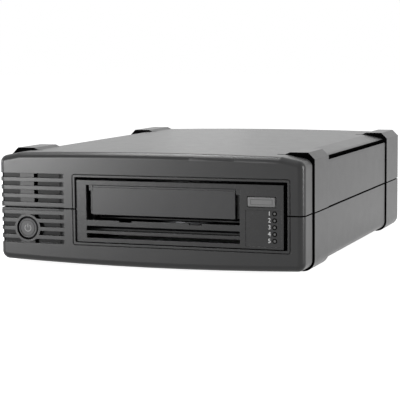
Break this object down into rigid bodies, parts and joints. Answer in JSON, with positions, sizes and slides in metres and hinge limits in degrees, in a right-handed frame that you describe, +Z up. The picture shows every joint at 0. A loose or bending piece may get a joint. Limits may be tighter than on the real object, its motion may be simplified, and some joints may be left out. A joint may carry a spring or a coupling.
{
  "type": "external tape drive",
  "caption": "Desktop cartridge tape drive: crowned two-shell enclosure with corner bumpers, louvred front, sprung slot door, eject and power buttons, and a working loader inside.",
  "frame": {"origin": "middle of the enclosure's footprint, on the surface that it stands on", "axes": "+X to the right seen from the front, +Y to the rear, +Z up"},
  "size_m": [0.222, 0.28, 0.0796],
  "materials": {
    "case_plastic": "fine textured moulded black",
    "bezel_plastic": "fine textured moulded black",
    "door_plastic": "satin moulded dark grey",
    "power_plastic": "satin moulded black",
    "eject_plastic": "satin moulded light grey",
    "light_pipe": "clear smoked acrylic, unlit",
    "foot_rubber": "soft matte",
    "panel_steel": "satin black powder coat",
    "sheet_steel": "zinc-plated",
    "screw_steel": "blackened",
    "black_steel": "black phosphated sheet",
    "black_casting": "black-coated casting",
    "cast_aluminium": "as cast",
    "board": "green solder mask",
    "dark_board": "black solder mask",
    "chip": "moulded epoxy",
    "connector": "moulded black",
    "contact": "tin and gold plated",
    "transformer": "varnished core and taped winding",
    "capacitor": "heat-shrink sleeve",
    "heatsink": "extruded",
    "nylon": "natural nylon",
    "acetal": "black acetal",
    "fan_plastic": "glass-filled black",
    "lead_jacket": "soft PVC",
    "head_ceramic": "lapped",
    "motor_can": "plated can"
  },
  "bodies": {
    "enclosure": {"upper_cover": "case_plastic", "lower_cover": "case_plastic", "rubber_feet": "foot_rubber", "case_screws": "screw_steel", "power_switch": "connector", "rear_panel": "panel_steel", "rear_panel_screws": "screw_steel", "chassis_tray": "sheet_steel", "left_drive_rail": "sheet_steel", "right_drive_rail": "sheet_steel", "drive_screws": "screw_steel", "fan_frame": "fan_plastic", "fan_screws": "screw_steel", "ac_inlet": "connector", "inlet_contacts": "contact", "data_socket_cage": "sheet_steel", "data_socket_board": "board", "psu_board": "board", "psu_spacers": "nylon", "psu_transformer": "transformer", "psu_capacitors": "capacitor", "psu_connectors": "nylon", "psu_heatsinks": "heatsink", "drive_base": "black_casting", "drive_bottom_cover": "sheet_steel", "drive_top_cover": "sheet_steel", "drive_bezel": "bezel_plastic", "status_light_pipes": "light_pipe", "front_panel_board": "dark_board", "main_board": "dark_board", "main_board_chips": "chip", "drive_rear_connectors": "connector", "loader_motor": "motor_can", "loader_bracket": "sheet_steel", "supply_motor": "motor_can", "take_up_motor": "motor_can", "tape_path_posts": "sheet_steel", "head_stepper": "motor_can", "mains_lead": "lead_jacket", "drive_power_lead": "lead_jacket", "fan_lead": "lead_jacket", "switch_lead": "lead_jacket", "data_cable": "lead_jacket"},
    "power_button": {"power_button": "power_plastic"},
    "eject_button": {"eject_button": "eject_plastic"},
    "slot_door": {"slot_door": "door_plastic"},
    "loader_slide": {"loader_slide": "black_steel"},
    "cartridge_tray": {"cartridge_tray": "black_steel"},
    "loader_gear": {"loader_gear": "acetal"},
    "motor_pinion": {"motor_pinion": "contact"},
    "supply_spindle": {"supply_spindle": "acetal"},
    "take_up_reel": {"take_up_reel": "acetal"},
    "first_guide_roller": {"first_guide_roller": "cast_aluminium"},
    "second_guide_roller": {"second_guide_roller": "cast_aluminium"},
    "third_guide_roller": {"third_guide_roller": "cast_aluminium"},
    "fourth_guide_roller": {"fourth_guide_roller": "cast_aluminium"},
    "head_carriage": {"head_carriage": "cast_aluminium", "tape_head": "head_ceramic"},
    "head_screw": {"head_screw": "screw_steel"},
    "fan_rotor": {"fan_rotor": "fan_plastic"}
  },
  "joints": [
    {"name": "power_button_press", "type": "slide", "parent": "enclosure", "child": "power_button", "axis": [0, 1, 0], "range_m": [0, 0.0012], "stiffness_N_per_m": 900, "springref_m": -0.0006},
    {"name": "eject_button_press", "type": "slide", "parent": "enclosure", "child": "eject_button", "axis": [0, 1, 0], "range_m": [0, 0.001], "stiffness_N_per_m": 700, "springref_m": -0.0006},
    {"name": "slot_door_swing", "type": "hinge", "parent": "enclosure", "child": "slot_door", "pos_m": [0.0107, -0.1369, 0.05585], "axis": [1, 0, 0], "range_deg": [0, 90], "stiffness_Nm_per_rad": 0.0006, "springref_deg": -17.19},
    {"name": "loader_slide_travel", "type": "slide", "parent": "enclosure", "child": "loader_slide", "axis": [0, 1, 0], "range_m": [0, 0.02]},
    {"name": "cartridge_tray_drop", "type": "slide", "parent": "enclosure", "child": "cartridge_tray", "axis": [0, 0, -1], "range_m": [0, 0.005]},
    {"name": "loader_gear_turn", "type": "hinge", "parent": "enclosure", "child": "loader_gear", "pos_m": [0.0708, -0.0614, 0.0357], "axis": [1, 0, 0], "range_deg": [-238.78, 0]},
    {"name": "motor_pinion_turn", "type": "hinge", "parent": "enclosure", "child": "motor_pinion", "pos_m": [0.0708, -0.0512, 0.0357], "axis": [1, 0, 0], "range_deg": [0, 573.01]},
    {"name": "supply_spindle_turn", "type": "hinge", "parent": "enclosure", "child": "supply_spindle", "pos_m": [0.0107, -0.0704, 0.0279], "axis": [0, 0, 1], "continuous": true},
    {"name": "take_up_reel_turn", "type": "hinge", "parent": "enclosure", "child": "take_up_reel", "pos_m": [0.045, 0.0325, 0.033], "axis": [0, 0, 1], "continuous": true},
    {"name": "first_guide_roller_turn", "type": "hinge", "parent": "enclosure", "child": "first_guide_roller", "pos_m": [-0.034, -0.0099, 0.0332], "axis": [0, 0, 1], "continuous": true},
    {"name": "second_guide_roller_turn", "type": "hinge", "parent": "enclosure", "child": "second_guide_roller", "pos_m": [-0.03, 0.0081, 0.0332], "axis": [0, 0, 1], "continuous": true},
    {"name": "third_guide_roller_turn", "type": "hinge", "parent": "enclosure", "child": "third_guide_roller", "pos_m": [-0.03, 0.0461, 0.0332], "axis": [0, 0, 1], "continuous": true},
    {"name": "fourth_guide_roller_turn", "type": "hinge", "parent": "enclosure", "child": "fourth_guide_roller", "pos_m": [-0.01, 0.0621, 0.0332], "axis": [0, 0, 1], "continuous": true},
    {"name": "head_carriage_travel", "type": "slide", "parent": "enclosure", "child": "head_carriage", "axis": [0, 0, 1], "range_m": [-0.003, 0.003]},
    {"name": "head_screw_turn", "type": "hinge", "parent": "enclosure", "child": "head_screw", "pos_m": [-0.0444, 0.027, 0.03093], "axis": [0, 0, 1], "range_deg": [-360.1, 360.1]},
    {"name": "fan_spin", "type": "hinge", "parent": "enclosure", "child": "fan_rotor", "pos_m": [-0.066, 0.1214, 0.041], "axis": [0, 1, 0], "continuous": true}
  ],
  "couplings": [
    {"joint": "cartridge_tray_drop", "follows": "loader_slide_travel", "ratio": 0.25},
    {"joint": "loader_gear_turn", "follows": "loader_slide_travel", "rad_per_m": -208.33},
    {"joint": "motor_pinion_turn", "follows": "loader_slide_travel", "rad_per_m": 500},
    {"joint": "head_screw_turn", "follows": "head_carriage_travel", "rad_per_m": 2094.4}
  ]
}
